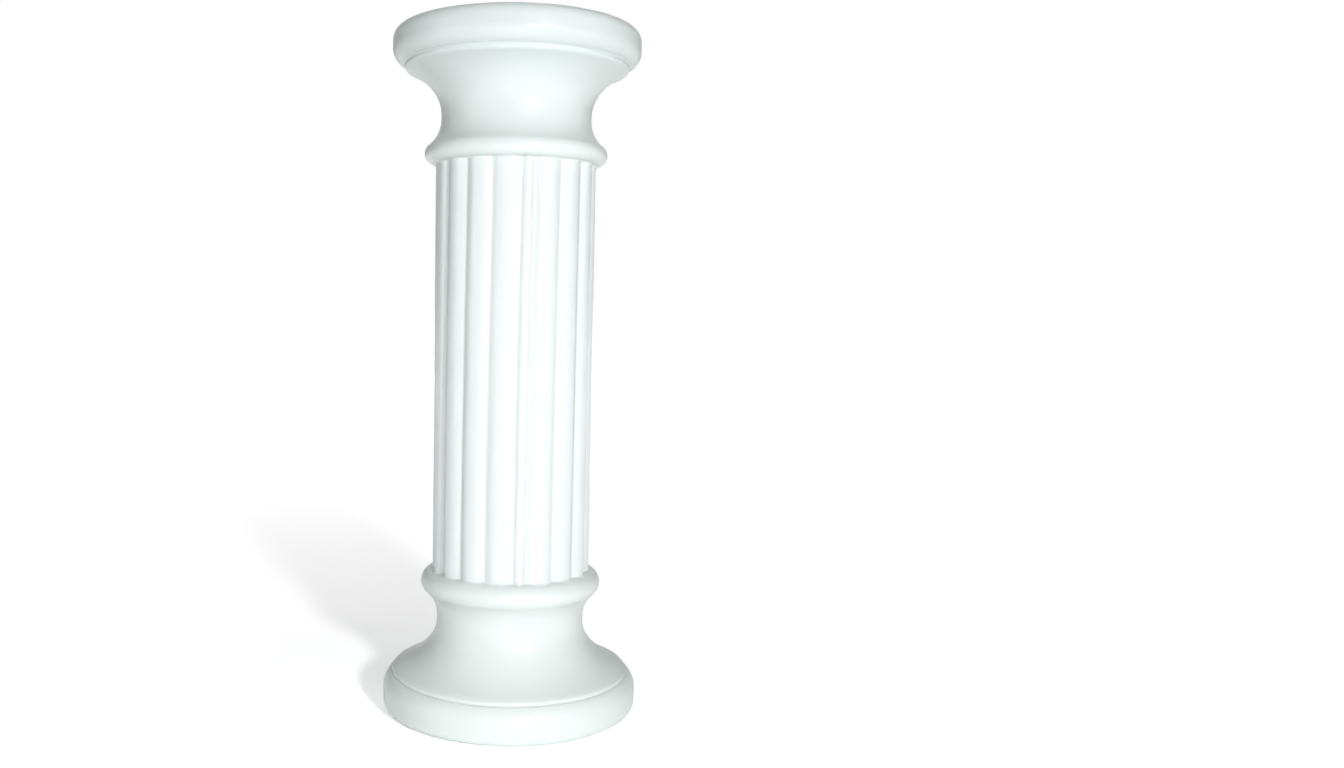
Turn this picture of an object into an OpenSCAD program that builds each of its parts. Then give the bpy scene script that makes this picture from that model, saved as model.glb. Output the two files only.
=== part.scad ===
// A small moulded column in one piece: a round foot and a round capital, each a
// thick disc, a seam, a flared bell, a neck and a ring, with a ribbed shaft between.
// It stands on its foot. Origin at the centre of the underside, +Z up, and the
// narrow rib near -Y. Sizes are in millimetres.

/* [Overall] */
// Height from the underside to the top face
height = 133; // [125:0.5:150]

/* [Foot] */
// Diameter of the foot's disc
foot_d = 50.4; // [49:0.1:54]
// Height of the foot's disc up to the seam
foot_disc_h = 6.8; // [6.5:0.1:7.5]
// Radius of the disc's lower edge
foot_edge_r = 1.8; // [1.2:0.1:3]
// Radius of the disc's upper edge, beside the seam
foot_shoulder_r = 3.7; // [3:0.1:4.5]
// How far round the upper edge the seam lies, in degrees
foot_shoulder_deg = 45; // [35:1:60]
// Height of the narrowest place of the foot's neck
foot_neck_z = 17.2; // [16.5:0.1:18]
// Height of the middle of the foot's ring
foot_ring_z = 25.2; // [24.8:0.1:27]
// Radius of the ring's round edge
foot_ring_r = 2.4; // [2.1:0.1:2.6]
// How much of a quarter turn the foot's bell takes, in degrees
foot_bell_deg = 47; // [40:1:75]

/* [Capital] */
// Diameter of the capital's disc
cap_d = 48.2; // [47:0.1:54]
// Depth of the capital's disc down to the seam
cap_disc_h = 6.6; // [6.3:0.1:7.5]
// Radius of the disc's upper edge
cap_edge_r = 2.4; // [1.2:0.1:3]
// Radius of the disc's lower edge, beside the seam
cap_shoulder_r = 3; // [2.6:0.1:3.5]
// How far round the lower edge the seam lies, in degrees
cap_shoulder_deg = 63; // [45:1:70]
// Depth of the narrowest place of the capital's neck below the top face
cap_neck_z = 16.4; // [16:0.1:17.5]
// Depth of the middle of the capital's ring below the top face
cap_ring_z = 23.8; // [23.4:0.1:26]
// Radius of the ring's round edge
cap_ring_r = 1.9; // [1.8:0.1:2.5]
// How much of a quarter turn the capital's bell takes, in degrees
cap_bell_deg = 65; // [40:1:75]

/* [Both ends] */
// Width of the low bead beside the seam
bead_w = 1.3; // [1:0.1:1.6]
// Step from the disc's edge in to the bead, at the seam
seam_step = 0.7; // [0.4:0.1:1]
// How far the seam cuts in behind the bead
seam_cut = 0.45; // [0.2:0.05:0.6]
// Diameter of the neck at its narrowest
neck_d = 29.3; // [28:0.1:30]
// Radius of the hollow between the neck and the ring
hollow_r = 6.8; // [6:0.1:7.5]
// Diameter over the ring
ring_d = 35.7; // [35:0.1:37]

/* [Shaft] */
// Diameter over the ribs
shaft_d = 31.4; // [30:0.1:32]
// Number of full ribs
rib_count = 17; // [12:1:24]
// Angle taken by the one narrow rib
narrow_deg = 9.8; // [8:0.1:13]
// Angle from straight ahead to the middle of the narrow rib
narrow_at = 8; // [0:0.5:20]
// Depth of the grooves between the ribs
groove_h = 0.75; // [0.4:0.05:1.2]
// Angle taken by the floor of a groove
groove_deg = 2.6; // [2:0.1:4]

/* [Hidden] */

shaft_r = shaft_d / 2;
core_r = shaft_r - groove_h;
rib_deg = (360 - narrow_deg) / rib_count;   // the full ribs share what the narrow one leaves
bead_turn = 50;                             // how far round the bead shows each way
sink = 1;                                   // how far the shaft runs into the rings
curve_step = 7.5;                           // turn between points on an arc
bell_steps = 10;
$fn = 96;

// Points along an arc about c, from angle a0 to angle a1
function arc(c, r, a0, a1) =
    let (n = max(2, ceil(abs(a1 - a0) / curve_step)))
    [for (i = [0:n]) let (a = a0 + (a1 - a0) * i / n) c + r * [cos(a), sin(a)]];

// The bell: part of a quarter ellipse from the point start in to the neck,
// where it runs upright
function bell(start, neck, turn) =
    let (wide = (start[0] - neck[0]) / (1 - cos(turn)),
         deep = (neck[1] - start[1]) / sin(turn))
    [for (i = [0:bell_steps]) let (t = turn * (1 - i / bell_steps))
        neck + [wide * (1 - cos(t)), -deep * sin(t)]];

// Outline of one end as [radius, distance from its outer face], face first
function end_outline(disc_r, disc_h, edge_r, shoulder_r, shoulder_deg,
                     neck_z, ring_z, ring_r, bell_deg) =
    let (shoulder = [disc_r, disc_h] - shoulder_r * [1, sin(shoulder_deg)],
         bead_r = shoulder[0] + shoulder_r * cos(shoulder_deg) - seam_step,
         bead = arc([bead_r - bead_w / 2, disc_h + bead_w / 2], bead_w / 2,
                    -bead_turn, bead_turn),
         neck = [neck_d / 2, neck_z],
         ring = [ring_d / 2 - ring_r, ring_z],
         hollow_x = neck[0] + hollow_r,
         // the hollow's centre lies where hollow and ring just touch
         rise = sqrt(pow(hollow_r + ring_r, 2) - pow(hollow_x - ring[0], 2)),
         meet = atan2(rise, ring[0] - hollow_x))
    concat([[0, 0]],
           arc([disc_r - edge_r, edge_r], edge_r, -90, 0),
           arc(shoulder, shoulder_r, 0, shoulder_deg),
           [[bead_r - seam_cut, disc_h]],
           bead,
           bell(bead[len(bead) - 1], neck, bell_deg),
           arc([hollow_x, ring_z - rise], hollow_r, 180, meet),
           arc(ring, ring_r, meet - 180, 90),
           [[0, ring_z + ring_r]]);

module foot() {
    rotate_extrude()
        polygon(end_outline(foot_d / 2, foot_disc_h, foot_edge_r, foot_shoulder_r,
                            foot_shoulder_deg, foot_neck_z, foot_ring_z, foot_ring_r,
                            foot_bell_deg));
}

module capital() {
    translate([0, 0, height])
        mirror([0, 0, 1])
            rotate_extrude()
                polygon(end_outline(cap_d / 2, cap_disc_h, cap_edge_r, cap_shoulder_r,
                                    cap_shoulder_deg, cap_neck_z, cap_ring_z, cap_ring_r,
                                    cap_bell_deg));
}

// One rib, at its middle's angle from straight ahead: the circle that touches the
// shaft's diameter and crosses the core where the groove's floor begins
module rib(at, deg) {
    half = (deg - groove_deg) / 2;
    centre_r = (pow(shaft_r, 2) - pow(core_r, 2)) / (2 * (shaft_r - core_r * cos(half)));
    rotate(at - 90)
        translate([centre_r, 0])
            circle(r = shaft_r - centre_r);
}

module shaft() {
    bottom = foot_ring_z + foot_ring_r - sink;
    top = height - cap_ring_z - cap_ring_r + sink;
    translate([0, 0, bottom])
        linear_extrude(height = top - bottom) {
            circle(r = core_r);
            rib(narrow_at, narrow_deg);
            for (i = [0:rib_count - 1])
                rib(narrow_at + narrow_deg / 2 + (i + 0.5) * rib_deg, rib_deg);
        }
}

module column() {
    color([0.93, 0.95, 0.95])
        union() {
            foot();
            shaft();
            capital();
        }
}

column();
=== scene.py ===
import bpy
import math
import random
from mathutils import Matrix, Vector


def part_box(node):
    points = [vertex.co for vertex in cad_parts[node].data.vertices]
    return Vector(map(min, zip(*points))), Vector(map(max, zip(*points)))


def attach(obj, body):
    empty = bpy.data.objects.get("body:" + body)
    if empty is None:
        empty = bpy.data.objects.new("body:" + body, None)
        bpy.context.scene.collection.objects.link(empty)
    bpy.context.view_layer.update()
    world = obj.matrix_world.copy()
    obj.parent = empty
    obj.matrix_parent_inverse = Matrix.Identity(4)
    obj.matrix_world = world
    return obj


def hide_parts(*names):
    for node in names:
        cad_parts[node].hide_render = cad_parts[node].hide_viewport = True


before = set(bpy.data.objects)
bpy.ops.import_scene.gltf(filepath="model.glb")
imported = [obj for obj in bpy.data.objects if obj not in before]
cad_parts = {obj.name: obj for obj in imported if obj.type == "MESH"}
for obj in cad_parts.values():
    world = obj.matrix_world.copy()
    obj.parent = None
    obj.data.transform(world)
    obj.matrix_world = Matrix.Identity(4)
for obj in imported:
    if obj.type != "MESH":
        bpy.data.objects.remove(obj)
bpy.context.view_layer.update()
mm = 0.001
columnLow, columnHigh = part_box("column")
height = columnHigh.z - columnLow.z
print("frame loaded, column height", round(height, 4))


cameraView = {   # from just above the column's middle, looking a little down
    "distance": 1.695,    # from the column's axis, in column heights
    "eyeHeight": 0.5994,  # in column heights
    "pitch": 3.88,        # degrees down
    "turn": 0.46,         # degrees to the right
    "roll": 0.82,         # degrees, the column's top leans right
    "lens": 30.47,        # mm, on a 36 mm wide frame
    "shift": 0.1116,      # the column stands left of the middle
}


def makeCamera(view):
    bpy.ops.object.camera_add(location=(0, -view["distance"] * height, view["eyeHeight"] * height))
    camera = bpy.context.object
    camera.name = "productCamera"
    tilt = Matrix.Rotation(math.radians(90 - view["pitch"]), 4, "X")
    turn = Matrix.Rotation(math.radians(-view["turn"]), 4, "Z")
    roll = Matrix.Rotation(math.radians(view["roll"]), 4, "Z")
    camera.matrix_world = Matrix.Translation(camera.location) @ turn @ tilt @ roll
    camera.data.lens = view["lens"]
    camera.data.sensor_width = 36
    camera.data.shift_x = view["shift"]
    camera.data.clip_start = 0.01
    camera.data.clip_end = 100
    camera.data.dof.use_dof = False
    bpy.context.scene.camera = camera


makeCamera(cameraView)


columnShape = {
    # sizes in mm; heights in each end are measured from its own outer face
    "foot": {
        "disc": 50.4, "discHeight": 6.8, "edge": 1.8, "shoulder": 3.7, "shoulderTurn": 45,
        "neckHeight": 17.2, "ringHeight": 25.2, "ringRound": 2.4, "bellTurn": 47,
    },
    "capital": {
        "disc": 48.2, "discHeight": 6.6, "edge": 2.4, "shoulder": 3.0, "shoulderTurn": 63,
        "neckHeight": 16.4, "ringHeight": 23.8, "ringRound": 1.9, "bellTurn": 65,
    },
    "bead": 1.3,           # width of the low bead beside the seam
    "seamStep": 0.7,       # from the disc's edge in to the bead
    "beadStart": -20,      # degrees of arc that the bead's face covers
    "beadEnd": 50,
    "seamCut": 0.1,        # how far the seam runs in behind the bead
    "seamRise": 0.28,      # height of the seam's bottom above the disc
    "seamRoll": 1.5,       # radius where the disc rolls over into the seam
    "seamRollTurn": 80,    # how far over it rolls, in degrees
    "neck": 29.3,
    "hollow": 6.8,
    "ring": 35.7,
    "shaft": 31.3,
    "ribs": 17,
    "ribColumns": 20,      # columns of faces across a full rib
    "narrowColumns": 12,
    "narrowTurn": 9.8,     # degrees taken by the one narrow rib
    "narrowAt": 6.1,       # degrees right of the front, at the shaft's bottom
    "twist": 3.1,          # degrees that the ribs turn by their top
    "twistCurve": 1.4,     # over 1, the turn gathers towards the top
    "groove": 0.75,        # depth of the grooves
    "grooveTurn": 0.7,     # degrees from a groove's middle to the rib's foot
    "ribRound": 2.6,       # more makes a flatter crest
    "ribFoot": 1.2,        # under 1 a rib meets its groove steeply, over 1 softly
    "ribCorner": 0.6,      # rounding of a rib's corners, where it stands on a ring
    "ribFillet": 0.4,      # fillet between the ribs and a ring
    "ribWander": 0.10,     # degrees that a rib strays from its place
    "wanderWave": 5,       # radians of that wander from the shaft's bottom to its top
    "ribUneven": 0.03,     # how unlike the ribs' heights are, as a share
    "toneFade": 1.5,       # over this far from a ring the colour of the ribs comes in
    "shaftRows": 26,
    "closeRows": [0.0, 0.05, 0.11, 0.18, 0.27, 0.38, 0.5, 0.62, 0.8, 1.2],   # from a ring
    "ringOverlap": 4,      # rows of a ring that the ribs run into
    "steps": {"edge": 8, "shoulder": 8, "roll": 5, "bead": 6, "bell": 14, "hollow": 10, "ring": 20},
    "faceRings": (0.9, 0.6, 0.3),   # each ring of a flat face, as a share of the one outside it
    "seed": 7,
}


def arcPoints(centre, radius, start, end, steps):
    points = []
    for i in range(steps + 1):
        angle = math.radians(start + (end - start) * i / steps)
        points.append((centre[0] + radius * math.cos(angle), centre[1] + radius * math.sin(angle)))
    return points


def endOutline(part, shape):
    # (radius, height from the outer face), from the face's rim to the ring's inner side
    steps = shape["steps"]
    rim = part["disc"] / 2
    turn = math.radians(part["shoulderTurn"])
    shoulder = (rim - part["shoulder"], part["discHeight"] - part["shoulder"] * math.sin(turn))
    rollX = shoulder[0] + (part["shoulder"] - shape["seamRoll"]) * math.cos(turn)
    rollZ = shoulder[1] + (part["shoulder"] - shape["seamRoll"]) * math.sin(turn)
    roll = arcPoints((rollX, rollZ), shape["seamRoll"], part["shoulderTurn"], shape["seamRollTurn"],
                     steps["roll"])
    beadOut = shoulder[0] + part["shoulder"] * math.cos(turn) - shape["seamStep"]
    half = shape["bead"] / 2
    bead = arcPoints((beadOut - half, part["discHeight"] + half), half,
                     shape["beadStart"], shape["beadEnd"], steps["bead"])
    seam = (beadOut - shape["seamCut"], part["discHeight"] + shape["seamRise"])
    neck = (shape["neck"] / 2, part["neckHeight"])
    bellTurn = math.radians(part["bellTurn"])
    wide = (bead[-1][0] - neck[0]) / (1 - math.cos(bellTurn))
    deep = (neck[1] - bead[-1][1]) / math.sin(bellTurn)
    bell = []
    for i in range(1, steps["bell"] + 1):
        angle = bellTurn * (1 - i / steps["bell"])
        bell.append((neck[0] + wide * (1 - math.cos(angle)), neck[1] - deep * math.sin(angle)))
    ringX = shape["ring"] / 2 - part["ringRound"]
    hollowX = neck[0] + shape["hollow"]
    rise = math.sqrt((shape["hollow"] + part["ringRound"]) ** 2 - (hollowX - ringX) ** 2)
    meet = math.degrees(math.atan2(rise, ringX - hollowX))
    hollow = arcPoints((hollowX, part["ringHeight"] - rise), shape["hollow"], 180, meet, steps["hollow"])
    ring = arcPoints((ringX, part["ringHeight"]), part["ringRound"], meet - 180, 90, steps["ring"])
    outline = arcPoints((rim - part["edge"], part["edge"]), part["edge"], -90, 0, steps["edge"])
    outline += arcPoints(shoulder, part["shoulder"], 0, part["shoulderTurn"], steps["shoulder"])
    return outline + roll[1:] + [seam] + bead + bell + hollow[1:] + ring[1:]


def ribColumns(shape):
    # one entry for each column of vertices round the shaft: its angle, where it stands on its
    # rib from -1 to 1 (None on a groove's floor), the rib's half width in degrees, its number
    full = (360 - shape["narrowTurn"]) / shape["ribs"]
    columns = []
    start = -shape["narrowTurn"] / 2
    for rib in range(shape["ribs"] + 1):
        width = full if rib else shape["narrowTurn"]
        count = shape["ribColumns"] if rib else shape["narrowColumns"]
        half = width / 2 - shape["grooveTurn"]
        columns.append((start, None, half, rib))
        for i in range(count - 1):
            across = -math.cos(math.pi * i / (count - 2))
            columns.append((start + width / 2 + half * across, across, half, rib))
        start += width
    return columns


def deselectAll():
    if bpy.context.object and bpy.context.object.mode != "OBJECT":
        bpy.ops.object.mode_set(mode="OBJECT")
    bpy.ops.object.select_all(action="DESELECT")


def raiseLoop(fromPoint, toPoint, turn):
    # pulls the selected loop up to the next point of the outline, and turns it
    bpy.ops.mesh.extrude_edges_move(
        TRANSFORM_OT_translate={"value": (0, 0, (toPoint[1] - fromPoint[1]) * mm)})
    grow = toPoint[0] / fromPoint[0]
    centre = (0, 0, toPoint[1] * mm)
    bpy.ops.transform.resize(value=(grow, grow, 1), center_override=centre)
    if turn:
        bpy.ops.transform.rotate(value=-turn, orient_axis="Z", center_override=centre)


def columnOutline(shape):
    foot = endOutline(shape["foot"], shape)
    capital = [(r, height / mm - z) for r, z in reversed(endOutline(shape["capital"], shape))]
    shaftLow, shaftHigh = foot[-1][1], capital[0][1]
    core = shape["shaft"] / 2 - shape["groove"]
    near = shape["closeRows"]
    heights = [shaftLow + s for s in near]
    step = (shaftHigh - shaftLow - 2 * near[-1]) / shape["shaftRows"]
    heights += [heights[-1] + step * i for i in range(1, shape["shaftRows"])]
    heights += [shaftHigh - s for s in reversed(near)]
    return foot, [(core, z) for z in heights], capital


def ribRadius(shape, entry, s, tall):
    # radius of the shaft in one column, s mm from the nearer ring
    across, half = entry[1:3]
    radius = shape["shaft"] / 2 - shape["groove"]
    halfWidth = radius * math.radians(half)
    corner, fillet = shape["ribCorner"], shape["ribFillet"]
    cut = corner * (1 - math.sqrt(1 - (1 - min(1, s / corner)) ** 2))
    if across is not None:
        x = abs(across) * halfWidth / (halfWidth - cut)
        if x < 1:
            radius += shape["groove"] * tall * (1 - x ** shape["ribRound"]) ** shape["ribFoot"]
    return radius + fillet * (1 - math.sqrt(1 - (1 - min(1, s / fillet)) ** 2))


def pullRibs(column, shape, columns, outline, footRows, shaftRows):
    # moves the shaft's rows, and what they overlap of the rings, out to the ribs, and notes
    # in the attribute ribTone how far each point is up a rib: -1 in a groove, 1 on a crest
    random.seed(shape["seed"])
    ribs = range(shape["ribs"] + 1)
    tall = [1 - shape["ribUneven"] * random.random() for rib in ribs]
    stray = [(random.uniform(-1, 1), random.uniform(0, 6.28)) for rib in ribs]   # how far, and its phase
    low, high = outline[footRows][1], outline[footRows + shaftRows - 1][1]
    count = len(columns)
    tone = column.data.attributes.new("ribTone", "FLOAT", "POINT")
    for row in range(footRows - shape["ringOverlap"], footRows + shaftRows + shape["ringOverlap"]):
        base, z = outline[row]
        share = min(1, max(0, (z - low) / (high - low)))
        s = max(0, min(z - low, high - z))
        for i, entry in enumerate(columns):
            rib = entry[3]
            vertex = column.data.vertices[row * count + i]
            reach = max(base, ribRadius(shape, entry, s, tall[rib]))
            swing, phase = stray[rib]
            turn = math.atan2(vertex.co.y, vertex.co.x)
            if low < z < high and entry[1] is not None:
                wave = swing * math.sin(phase + shape["wanderWave"] * share) * math.sin(math.pi * share)
                turn += math.radians(shape["ribWander"]) * wave * (1 - entry[1] ** 2)
            vertex.co.x = reach * mm * math.cos(turn)
            vertex.co.y = reach * mm * math.sin(turn)
            if low <= z <= high and base < shape["shaft"] / 2:
                up = (reach - base) / shape["groove"]
                comeIn = min(1, s / shape["toneFade"])
                tone.data[row * count + i].value = max(-1, min(1, 2 * up - 1)) * comeIn


def closeEnd(column, shape, z, rim):
    # closes the flat face at height z, from its rim in to a point at its middle
    deselectAll()
    bpy.context.view_layer.objects.active = column
    column.select_set(True)
    for edge in column.data.edges:
        edge.select = False
    for vertex in column.data.vertices:
        reach = math.hypot(vertex.co.x, vertex.co.y)
        vertex.select = abs(vertex.co.z - z) < 1e-7 and abs(reach - rim) < 1e-6
    bpy.ops.object.mode_set(mode="EDIT")
    bpy.ops.mesh.select_mode(type="VERT")
    bpy.ops.mesh.select_mode(type="EDGE")   # takes the edges between the selected vertices
    for share in shape["faceRings"]:
        bpy.ops.mesh.extrude_edges_move()
        bpy.ops.transform.resize(value=(share, share, 1), center_override=(0, 0, z))
    bpy.ops.mesh.extrude_edges_move()
    bpy.ops.mesh.merge(type="CENTER")
    bpy.ops.object.mode_set(mode="OBJECT")


def turnColumn(shape):
    columns = ribColumns(shape)
    foot, shaft, capital = columnOutline(shape)
    outline = foot + shaft + capital
    low, high = shaft[0][1], shaft[-1][1]
    rim = outline[0][0] * mm
    deselectAll()
    bpy.ops.mesh.primitive_circle_add(vertices=len(columns), radius=rim)
    column = bpy.context.object
    column.name = "columnSkin"
    for vertex, entry in zip(column.data.vertices, columns):
        turn = math.radians(entry[0] + shape["narrowAt"] - 90)   # slides round the circle to its rib
        vertex.co = (rim * math.cos(turn), rim * math.sin(turn), 0)
    bpy.ops.object.mode_set(mode="EDIT")
    bpy.ops.mesh.select_all(action="SELECT")
    turned = 0
    for fromPoint, toPoint in zip(outline, outline[1:]):
        share = min(1, max(0, (toPoint[1] - low) / (high - low)))
        wanted = math.radians(shape["twist"]) * share ** shape["twistCurve"]
        raiseLoop(fromPoint, toPoint, wanted - turned)
        turned = wanted
    bpy.ops.object.mode_set(mode="OBJECT")
    print("outline raised,", len(outline), "rows of", len(columns))
    pullRibs(column, shape, columns, outline, len(foot), len(shaft))
    closeEnd(column, shape, 0, rim)
    closeEnd(column, shape, height, outline[-1][0] * mm)
    deselectAll()
    column.select_set(True)
    bpy.context.view_layer.objects.active = column
    bpy.ops.object.mode_set(mode="EDIT")
    bpy.ops.mesh.select_all(action="SELECT")
    bpy.ops.mesh.remove_doubles(threshold=1e-6)   # where a rib's foot and a ring's last row meet
    bpy.ops.mesh.normals_make_consistent(inside=False)
    bpy.ops.object.mode_set(mode="OBJECT")
    bpy.ops.object.shade_smooth()
    return column


column = turnColumn(columnShape)
print("column modelled,", len(column.data.polygons), "faces")


skinFinish = {
    "colour": (0.80, 0.855, 0.845, 1),
    "patchColour": (0.785, 0.843, 0.83, 1),      # faint cloudiness of the skin
    "patchSize": 14,                             # mm
    "patchFade": (0.35, 0.68, 0, 1),             # noise from 0.35 to 0.68 goes from none to full
    "capitalShadeColour": (0.722, 0.785, 0.778, 1),   # painted shade: the capital is made a little darker than the foot
    "capitalShadeStart": 0.80,                        # where that sets in, as a share of the height
    "capitalShadeFull": 0.94,
    "crestSheenColour": (0.81, 0.855, 0.868, 1),      # painted light: the rib crests are made a little brighter and cooler
    "grooveColour": (0.805, 0.855, 0.845, 1),
    "edgeShadeColour": (0.52, 0.60, 0.535, 1),        # painted shade, where the surface turns away from the view
    "edgeShadeAmount": 0.85,                          # 0 leaves the painted shade out
    "edgeShadePower": 2.9,                            # more keeps it nearer the outline
    "grainSize": 0.9,                            # mm
    "grainDepth": 0.002,                         # mm
    "waveSize": 9,                               # mm, slow unevenness of the moulded skin
    "waveDepth": 0.025,                          # mm
    "roughness": 0.32,
    "roughnessSpread": 0.1,
    "sheenSize": 8.4,                            # mm, patches of duller and shinier skin
    "specular": 0.32,
    "coat": 0.06,
    "coatRoughness": 0.2,
}


def newGroup(name, inputs, outputs):
    group = bpy.data.node_groups.new(name, "ShaderNodeTree")
    for label, kind in inputs:
        group.interface.new_socket(label, in_out="INPUT", socket_type="NodeSocket" + kind)
    for label, kind in outputs:
        group.interface.new_socket(label, in_out="OUTPUT", socket_type="NodeSocket" + kind)
    return group, group.nodes.new("NodeGroupInput"), group.nodes.new("NodeGroupOutput")


def fill(tree, socket, value):
    # links a socket to an output, or sets it to a number or a colour
    if isinstance(value, bpy.types.NodeSocket):
        tree.links.new(value, socket)
    else:
        socket.default_value = value


def addMath(tree, operation, first, second=0.0):
    node = tree.nodes.new("ShaderNodeMath")
    node.operation = operation
    for socket, value in zip(node.inputs, (first, second)):
        fill(tree, socket, value)
    return node.outputs[0]


def addNoise(tree, vector, size, detail):
    # noise whose features are about size metres, from a size socket
    noise = tree.nodes.new("ShaderNodeTexNoise")
    noise.inputs["Detail"].default_value = detail
    tree.links.new(vector, noise.inputs["Vector"])
    tree.links.new(addMath(tree, "DIVIDE", 1, size), noise.inputs["Scale"])
    return noise.outputs["Fac"]


def addRange(tree, value, limits):
    # maps a value from the first two limits to the last two, and holds it there
    node = tree.nodes.new("ShaderNodeMapRange")
    for label, limit in zip(("From Min", "From Max", "To Min", "To Max"), limits):
        fill(tree, node.inputs[label], limit)
    tree.links.new(value, node.inputs["Value"])
    return node.outputs["Result"]


def addMix(tree, amount, first, second):
    node = tree.nodes.new("ShaderNodeMix")
    node.data_type = "RGBA"
    for label, value in (("Factor", amount), ("A", first), ("B", second)):
        fill(tree, node.inputs[label], value)
    return node.outputs["Result"]


def skinToneAndLightGroup(finish):
    # the skin's colour: cloudy patches, painted shade on the capital, painted light on the rib crests,
    # and a groove tone close to the skin's own
    inputs = [("Vector", "Vector"), ("Rib Tone", "Float"), ("Patch Size", "Float"),
              ("Colour", "Color"), ("Patch Colour", "Color"), ("Capital Shade Colour", "Color"),
              ("Crest Sheen Colour", "Color"), ("Groove Colour", "Color"),
              ("Capital Shade Start", "Float"), ("Capital Shade Full", "Float")]
    group, start, end = newGroup("skinToneAndLight", inputs, [("Color", "Color")])
    given = start.outputs
    clouds = addNoise(group, given["Vector"], given["Patch Size"], detail=3.0)
    patches = addRange(group, clouds, finish["patchFade"])
    tone = addMix(group, patches, given["Colour"], given["Patch Colour"])
    place = group.nodes.new("ShaderNodeSeparateXYZ")
    group.links.new(given["Vector"], place.inputs[0])
    # painted shade: the colour darkens towards the capital
    rise = addRange(group, place.outputs["Z"], (given["Capital Shade Start"], given["Capital Shade Full"], 0, 1))
    tone = addMix(group, rise, tone, given["Capital Shade Colour"])
    # painted light on the crests, which turn brighter and cooler; the grooves take a tone close to the
    # skin's own
    crest = addMath(group, "MAXIMUM", given["Rib Tone"], 0)
    tone = addMix(group, crest, tone, given["Crest Sheen Colour"])
    groove = addMath(group, "MAXIMUM", addMath(group, "MULTIPLY", given["Rib Tone"], -1), 0)
    tone = addMix(group, groove, tone, given["Groove Colour"])
    group.links.new(tone, end.inputs["Color"])
    return group


def skinReliefGroup():
    # height of the moulded skin in metres: slow waves under a fine grain
    inputs = [("Vector", "Vector"), ("Wave Size", "Float"), ("Wave Depth", "Float"),
              ("Grain Size", "Float"), ("Grain Depth", "Float")]
    group, start, end = newGroup("skinRelief", inputs, [("Height", "Float")])
    given = start.outputs
    waves = addNoise(group, given["Vector"], given["Wave Size"], detail=1.0)
    waves = addMath(group, "MULTIPLY", waves, given["Wave Depth"])
    grain = addNoise(group, given["Vector"], given["Grain Size"], detail=4.0)
    grain = addMath(group, "MULTIPLY", grain, given["Grain Depth"])
    group.links.new(addMath(group, "ADD", waves, grain), end.inputs["Height"])
    return group


def skinSheenGroup():
    # roughness, uneven as the skin left the mould
    inputs = [("Vector", "Vector"), ("Patch Size", "Float"), ("Roughness", "Float"), ("Spread", "Float")]
    group, start, end = newGroup("skinSheen", inputs, [("Roughness", "Float")])
    given = start.outputs
    patches = addNoise(group, given["Vector"], given["Patch Size"], detail=4.0)
    patches = addMath(group, "SUBTRACT", patches, 0.5)
    patches = addMath(group, "MULTIPLY", patches, given["Spread"])
    group.links.new(addMath(group, "ADD", given["Roughness"], patches), end.inputs["Roughness"])
    return group


def useGroup(tree, group, vector, settings):
    node = tree.nodes.new("ShaderNodeGroup")
    node.node_tree = group
    tree.links.new(vector, node.inputs["Vector"])
    for label, value in settings.items():
        node.inputs[label].default_value = value
    return node


def skinMaterial(finish):
    material = bpy.data.materials.new("satinFoamSkin")
    material.use_nodes = True
    tree = material.node_tree
    shader = tree.nodes["Principled BSDF"]
    place = tree.nodes.new("ShaderNodeTexCoord").outputs["Object"]
    rib = tree.nodes.new("ShaderNodeAttribute")
    rib.attribute_name = "ribTone"
    tone = useGroup(tree, skinToneAndLightGroup(finish), place, {
        "Patch Size": finish["patchSize"] * mm, "Colour": finish["colour"],
        "Patch Colour": finish["patchColour"], "Capital Shade Colour": finish["capitalShadeColour"],
        "Crest Sheen Colour": finish["crestSheenColour"], "Groove Colour": finish["grooveColour"],
        "Capital Shade Start": finish["capitalShadeStart"] * height,
        "Capital Shade Full": finish["capitalShadeFull"] * height})
    tree.links.new(rib.outputs["Fac"], tone.inputs["Rib Tone"])
    # painted shade: the colour darkens towards the outline, where the surface turns away from the view,
    # but not on the rib crests
    edge = tree.nodes.new("ShaderNodeLayerWeight")
    edge.inputs["Blend"].default_value = 0.5
    turned = addMath(tree, "POWER", edge.outputs["Facing"], finish["edgeShadePower"])
    turned = addMath(tree, "MULTIPLY", turned, finish["edgeShadeAmount"])
    offCrest = addMath(tree, "SUBTRACT", 1, addMath(tree, "MAXIMUM", rib.outputs["Fac"], 0))
    turned = addMath(tree, "MULTIPLY", turned, offCrest)
    colour = addMix(tree, turned, tone.outputs["Color"], finish["edgeShadeColour"])
    tree.links.new(colour, shader.inputs["Base Color"])
    sheen = useGroup(tree, skinSheenGroup(), place, {
        "Patch Size": finish["sheenSize"] * mm, "Roughness": finish["roughness"],
        "Spread": finish["roughnessSpread"]})
    tree.links.new(sheen.outputs["Roughness"], shader.inputs["Roughness"])
    shader.inputs["Specular IOR Level"].default_value = finish["specular"]
    shader.inputs["Coat Weight"].default_value = finish["coat"]
    shader.inputs["Coat Roughness"].default_value = finish["coatRoughness"]
    relief = useGroup(tree, skinReliefGroup(), place, {
        "Wave Size": finish["waveSize"] * mm, "Wave Depth": finish["waveDepth"] * mm,
        "Grain Size": finish["grainSize"] * mm, "Grain Depth": finish["grainDepth"] * mm})
    bump = tree.nodes.new("ShaderNodeBump")
    bump.inputs["Distance"].default_value = 1.0
    tree.links.new(relief.outputs["Height"], bump.inputs["Height"])
    tree.links.new(bump.outputs["Normal"], shader.inputs["Normal"])
    return material


column.data.materials.append(skinMaterial(skinFinish))
print("skin finished")


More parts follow.
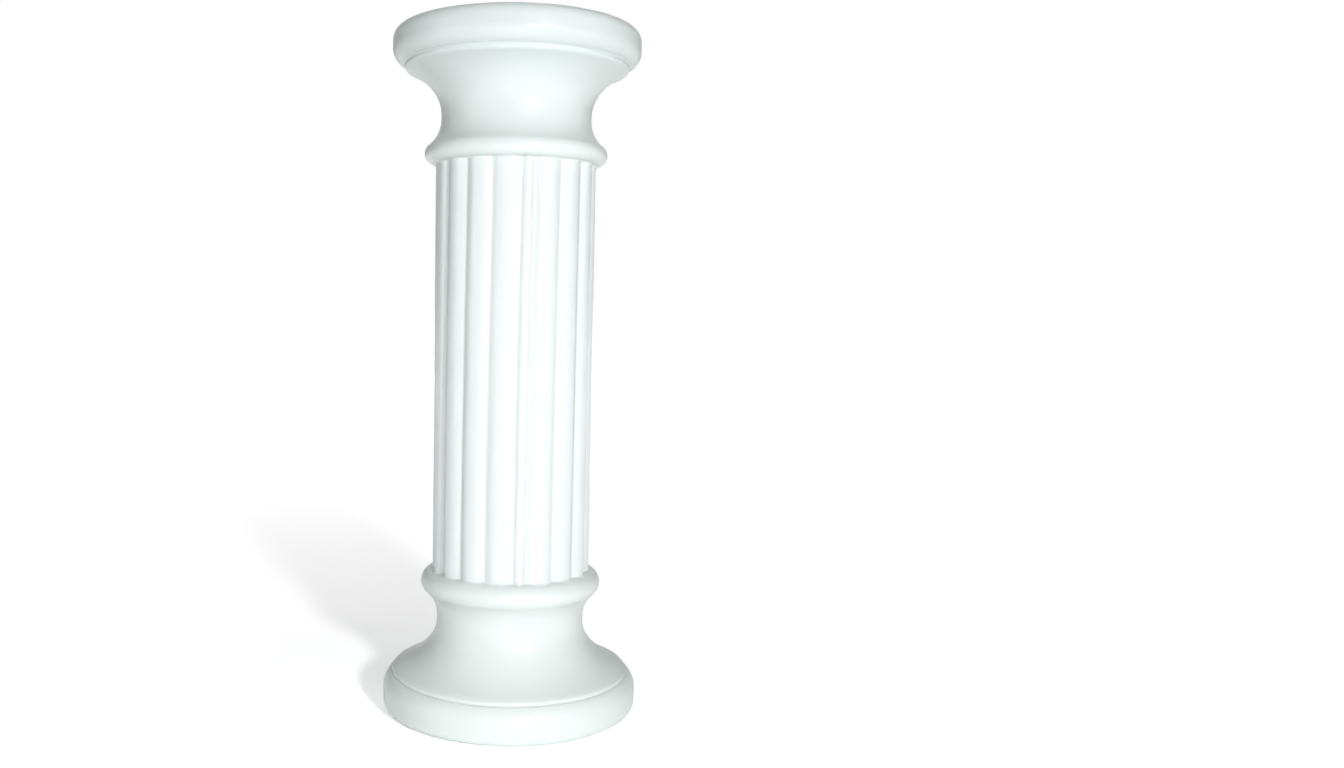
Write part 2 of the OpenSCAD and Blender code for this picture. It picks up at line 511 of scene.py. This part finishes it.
studio = {
    "ambient": 0.09,      # strength of the world on the object
    "reflected": 0.3,     # what glossy rays see of it
    "floorSize": 40,      # m
    "floorColour": 0.98,
    "floorSeen": 1.97,    # floor colour that the camera sees
    "glowStart": 0.06,    # m from the column's axis, where the far floor's plain white sets in
    "glowEnd": 0.86,
    "glow": 1.0,
    # turn right of the front and lift in degrees, distance from mid height in m, size in m, watts
    "lamps": {
        "keyLamp": (22, 11, 0.315, 0.035, 0.5),
        "lowLamp": (3, -15.2, 0.207, 0.03, 0.08),
        "leftLamp": (-65, 8, 1.0, 0.5, 1.75),
        "rightLamp": (65, 8, 1.0, 0.5, 0.4),
        "leftHighLamp": (-70, 50, 1.0, 1.0, 1.15),
        "rightHighLamp": (70, 50, 1.0, 1.0, 1.2),
        "topLamp": (0, 88, 1.0, 0.8, 1.1),
        "backLamp": (180, 25, 1.0, 1.0, 1.3),
    },
}


def lampPlace(turn, lift, distance):
    turn, lift = math.radians(turn), math.radians(lift)
    flat = math.cos(lift) * distance
    return Vector((math.sin(turn) * flat, -math.cos(turn) * flat, math.sin(lift) * distance))


def makeFloor():
    # the floor keeps its shadow, and only what the camera and reflections see of it is white
    deselectAll()
    bpy.ops.mesh.primitive_plane_add(size=studio["floorSize"])
    floor = bpy.context.object
    floor.name = "floor"
    material = bpy.data.materials.new("paleFloor")
    material.use_nodes = True
    tree = material.node_tree
    tree.nodes.clear()
    out = tree.nodes.new("ShaderNodeOutputMaterial")
    diffuse = tree.nodes.new("ShaderNodeBsdfDiffuse")
    glow = tree.nodes.new("ShaderNodeEmission")
    add = tree.nodes.new("ShaderNodeAddShader")
    path = tree.nodes.new("ShaderNodeLightPath")
    place = tree.nodes.new("ShaderNodeTexCoord")
    reach = tree.nodes.new("ShaderNodeVectorMath")
    reach.operation = "LENGTH"
    tree.links.new(place.outputs["Object"], reach.inputs[0])
    limits = (studio["glowStart"], studio["glowEnd"], 0, studio["glow"])
    fade = addRange(tree, reach.outputs["Value"], limits)
    seen = addMath(tree, "MAXIMUM", path.outputs["Is Camera Ray"], path.outputs["Is Transmission Ray"])
    seen = addMath(tree, "MAXIMUM", seen, path.outputs["Is Glossy Ray"])
    paint = addMath(tree, "MULTIPLY", seen, studio["floorSeen"] - studio["floorColour"])
    paint = addMath(tree, "ADD", paint, studio["floorColour"])
    tree.links.new(paint, diffuse.inputs["Color"])
    tree.links.new(addMath(tree, "MULTIPLY", seen, fade), glow.inputs["Strength"])
    tree.links.new(diffuse.outputs[0], add.inputs[0])
    tree.links.new(glow.outputs[0], add.inputs[1])
    tree.links.new(add.outputs[0], out.inputs["Surface"])
    floor.data.materials.append(material)


def makeWorld():
    world = bpy.data.worlds.new("studioWorld")
    bpy.context.scene.world = world
    world.use_nodes = True
    tree = world.node_tree
    background = tree.nodes["Background"]
    background.inputs["Color"].default_value = (1, 1, 1, 1)
    path = tree.nodes.new("ShaderNodeLightPath")
    seen = addMath(tree, "MAXIMUM", path.outputs["Is Camera Ray"], path.outputs["Is Transmission Ray"])
    shine = addMath(tree, "MULTIPLY", path.outputs["Is Glossy Ray"], studio["reflected"])
    level = addMath(tree, "MAXIMUM", shine, studio["ambient"])
    tree.links.new(addMath(tree, "MAXIMUM", seen, level), background.inputs["Strength"])


def makeLamps():
    middle = Vector((0, 0, height / 2))
    for name, (turn, lift, distance, size, watts) in studio["lamps"].items():
        place = lampPlace(turn, lift, distance)
        bpy.ops.object.light_add(type="AREA", location=middle + place)
        lamp = bpy.context.object
        lamp.name = name
        lamp.data.shape = "DISK"
        lamp.data.size = size
        lamp.data.energy = watts
        lamp.rotation_euler = (-place).to_track_quat("-Z", "Y").to_euler()


makeFloor()
makeWorld()
makeLamps()
bpy.context.scene.view_settings.view_transform = "Standard"
print("studio lit,", len(studio["lamps"]), "lamps")

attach(column, "root")
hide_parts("column")
